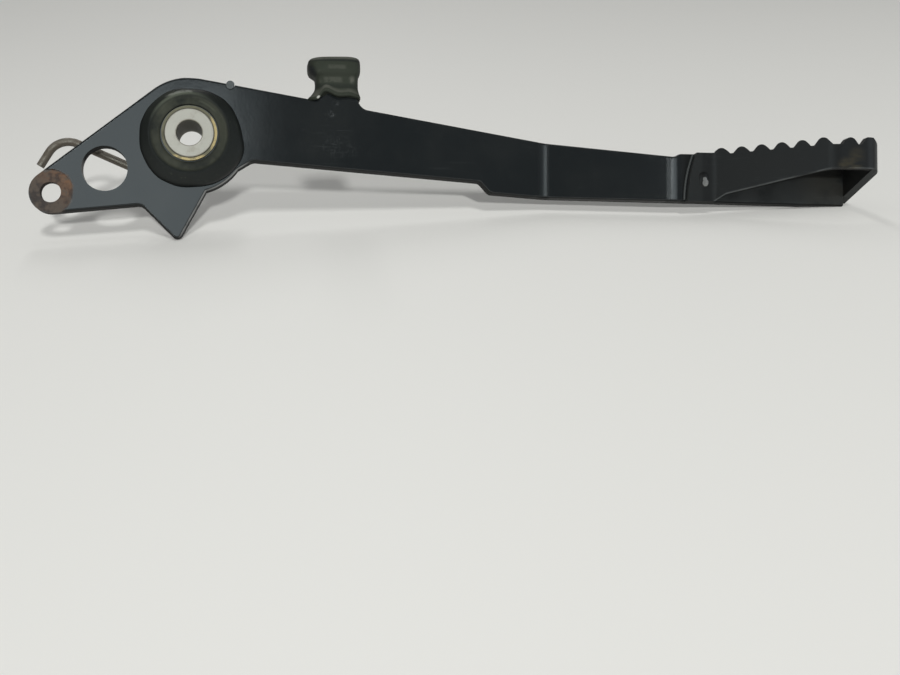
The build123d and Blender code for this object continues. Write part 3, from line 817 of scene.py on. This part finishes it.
# Stop buffer: a worn rubber cap with an overhanging head, whose lip hangs lowest in a flap at its left
buffer = {
    "at": (46.7, 0.0, 15.379), "around": 64, "square": 3.6,
    "lump": 0.12, "lumpGrain": 0.45, "lumpSeed": (4.0, 1.0, 2.0),
    "tilt": 0.03, "tiltFrom": 4.0, "tiltOver": 4.0, "hangFrom": 2.4, "hangOver": 2.7,
    # height, then half width to the left and to the right, and half depth
    "levels": [
        (-1.9, 5.0, 5.0, 2.6), (-2.1, 8.2, 7.5, 5.2), (-2.0, 9.2, 7.9, 5.9), (-1.5, 9.4, 8.05, 6.3),
        (-0.9, 8.9, 7.9, 6.3), (-0.3, 8.2, 7.6, 5.95), (0.6, 7.3, 7.35, 5.65), (1.2, 6.85, 7.2, 5.55),
        (2.6, 6.75, 7.15, 5.6), (3.2, 6.8, 7.15, 5.85), (4.3, 6.9, 7.2, 6.0), (4.85, 7.5, 7.3, 6.45),
        (5.4, 8.4, 7.6, 6.9), (6.3, 9.25, 7.95, 7.2), (8.8, 9.35, 7.95, 7.3), (10.0, 9.15, 7.75, 7.1),
        (10.62, 8.5, 7.2, 6.5), (10.97, 7.2, 6.0, 5.3), (11.04, 4.0, 3.6, 3.0), (11.04, 2.0, 2.0, 1.6)],
    # where along the lip its edge hangs lower or rises
    "lip": [(-9.6, -1.2), (-5.8, -1.3), (-4.0, 1.6), (0.9, -0.1), (4.5, 0.2), (6.6, -0.2), (9.0, -0.7)],
}


def lipDrop(x):
    for (a, low), (b, high) in zip(buffer["lip"], buffer["lip"][1:]):
        if x <= b:
            return low + (high - low) * ease(clamp((x - a) / (b - a)))
    return buffer["lip"][-1][1]


def makeBuffer():
    b = buffer
    at, seed = Vector(b["at"]), Vector(b["lumpSeed"])
    around, count = b["around"], len(b["levels"])
    points = []
    for z, left, right, deep in b["levels"]:
        hang = clamp((b["hangFrom"] - z) / b["hangOver"])
        lean = b["tilt"] * clamp((z - b["tiltFrom"]) / b["tiltOver"])
        for k in range(around):
            a = 2 * pi * (k + 0.5) / around
            c, s = cos(a), sin(a)
            flat = (abs(c) ** b["square"] + abs(s) ** b["square"]) ** (-1 / b["square"])
            px, py = (right if c > 0 else left) * c * flat, deep * s * flat
            place = Vector((px, py, z + lean * px + hang * lipDrop(px)))
            push = b["lump"] * noise.noise(place * b["lumpGrain"] + seed)
            points.append(at + place + Vector((c, s, 0.0)) * push)
    ends = [tuple(range(around)), tuple(range((count - 1) * around, count * around))]
    mesh = solidMesh("stopBuffer", points, skin(count, around) + ends, 1)
    piece = addPiece("stopBuffer", mesh, finishes["buffer"], "lever")
    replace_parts(piece, "stop_buffer")


makeBuffer()
print("rubber moulded")

# Camera at the photograph's viewpoint
camera = {"eye": (0.0204, -0.4560, -0.0788), "yaw": 8.0, "pitch": 1.8, "lens": 56.0, "sensor": 36.0}


def setCamera():
    data = bpy.data.cameras.new("photoCamera")
    data.lens, data.sensor_width, data.sensor_fit = camera["lens"], camera["sensor"], "HORIZONTAL"
    data.clip_start, data.clip_end = 0.01, 20.0
    eye = bpy.data.objects.new("photoCamera", data)
    bpy.context.collection.objects.link(eye)
    yaw, pitch = radians(camera["yaw"]), radians(camera["pitch"])
    look = Vector((sin(yaw) * cos(pitch), cos(yaw) * cos(pitch), sin(pitch)))
    eye.location = camera["eye"]
    eye.rotation_euler = look.to_track_quat("-Z", "Y").to_euler()
    bpy.context.scene.camera = eye


setCamera()

# Pale table, leaning so that the stop point and the toe both rest on it
table = {
    "lean": 18.0, "size": 6.0, "colour": (0.80, 0.80, 0.775), "rough": 0.6,
    "point": -3.5, "gap": 0.1, "toe": (205.0, -18.0, -21.4),
}


def layTable():
    point = Vector((table["point"] * mm, 0.0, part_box("lever_arm")[0][2] - table["gap"] * mm))
    toe = Vector([c * mm for c in table["toe"]])
    climb = tan(radians(table["lean"]))
    slope = ((toe.z - point.z) - climb * (toe.y - point.y)) / (toe.x - point.x)
    across = Vector((1.0, 0.0, slope)).normalized()
    up = across.cross(Vector((0.0, 1.0, climb))).normalized()
    back = up.cross(across)
    half = table["size"] / 2
    signs = ((-1, -1), (1, -1), (1, 1), (-1, 1))
    mesh = bpy.data.meshes.new("table")
    mesh.from_pydata([point + across * i * half + back * j * half for i, j in signs], [], [(0, 1, 2, 3)])
    top = bpy.data.objects.new("table", mesh)
    bpy.context.collection.objects.link(top)
    f = Finish("tableTop")  # clear from below, so that low views see the object
    behind = f.node("ShaderNodeNewGeometry", None, None, "Backfacing")
    sockets = {"Base Color": table["colour"], "Roughness": table["rough"]}
    shader = f.node("ShaderNodeBsdfPrincipled", None, sockets)
    clear = f.node("ShaderNodeBsdfTransparent")
    shown = f.node("ShaderNodeMixShader", None, {0: behind, 1: shader, 2: clear})
    f.node("ShaderNodeOutputMaterial", None, {"Surface": shown})
    mesh.materials.append(f.material)


layTable()

# Soft studio light: a long tube panel overhead and two front lamps that the gloss doesn't show,
# then panels seen only in the gloss: a window and its edge, one at the side, and one for the bends' lines
roomWhite, skyWhite = (1.0, 1.0, 0.985), (0.84, 0.96, 1.0)
lights = {
    "tube": {
        "at": (-0.15, 3.10, 4.14), "aim": (-0.35, 4.02, 1.30), "along": (0.0, 0.951, 0.309),
        "wide": 0.45, "tall": 6.0, "power": 47.0, "colour": roomWhite},
    "upper": {
        "at": (0.01, -4.50, 1.22), "aim": (0.06, 0.0, 0.0),
        "wide": 0.31, "tall": 0.69, "power": 116.0, "colour": roomWhite, "mirrored": False},
    "lower": {
        "at": (0.01, -4.50, -0.17), "aim": (0.06, 0.0, 0.0),
        "wide": 0.165, "tall": 0.165, "power": 230.0, "colour": roomWhite, "mirrored": False},
    "window": {
        "at": (-0.093, -0.75, 0.080), "aim": (-0.093, 0.0, 0.080),
        "wide": 0.194, "tall": 0.20, "power": 0.244, "colour": skyWhite, "lit": False},
    "windowEdge": {
        "at": (0.017, -0.75, 0.080), "aim": (0.017, 0.0, 0.080),
        "wide": 0.026, "tall": 0.20, "power": 0.009, "colour": skyWhite, "lit": False},
    "side": {
        "at": (0.90, -0.60, 0.10), "aim": (0.20, 0.0, 0.0),
        "wide": 0.4, "tall": 0.5, "power": 1.0, "colour": (0.82, 0.92, 1.0), "lit": False},
    "bendLine": {
        "at": (-0.215, -0.75, 0.05), "aim": (-0.215, 0.0, 0.05),
        "wide": 0.03, "tall": 0.5, "power": 0.70, "colour": (0.9, 0.98, 1.0), "lit": False},
}
room = {"colour": roomWhite, "strength": 0.165}


def hangPanel(name, spec):
    data = bpy.data.lights.new(name, "AREA")
    data.shape, data.size, data.size_y = "RECTANGLE", spec["wide"], spec["tall"]
    data.energy, data.color = spec["power"], spec["colour"]
    panel = bpy.data.objects.new(name, data)
    bpy.context.collection.objects.link(panel)
    at = Vector(spec["at"])
    away = (at - Vector(spec["aim"])).normalized()
    along = Vector(spec.get("along", (0.0, 0.0, 1.0)))
    along = (along - away * along.dot(away)).normalized()
    turn = Matrix((along.cross(away), along, away)).transposed()
    panel.matrix_world = Matrix.LocRotScale(at, turn, None)
    panel.visible_camera = False
    panel.visible_glossy, panel.visible_diffuse = spec.get("mirrored", True), spec.get("lit", True)


def fillRoom():
    world = bpy.data.worlds.new("room")
    bpy.context.scene.world = world
    world.use_nodes = True
    fill = world.node_tree.nodes["Background"]
    fill.inputs["Color"].default_value = (*room["colour"], 1.0)
    fill.inputs["Strength"].default_value = room["strength"]


for lightName, lightSpec in lights.items():
    hangPanel(lightName, lightSpec)
fillRoom()
bpy.context.scene.view_settings.view_transform = "Standard"
print("stage set")
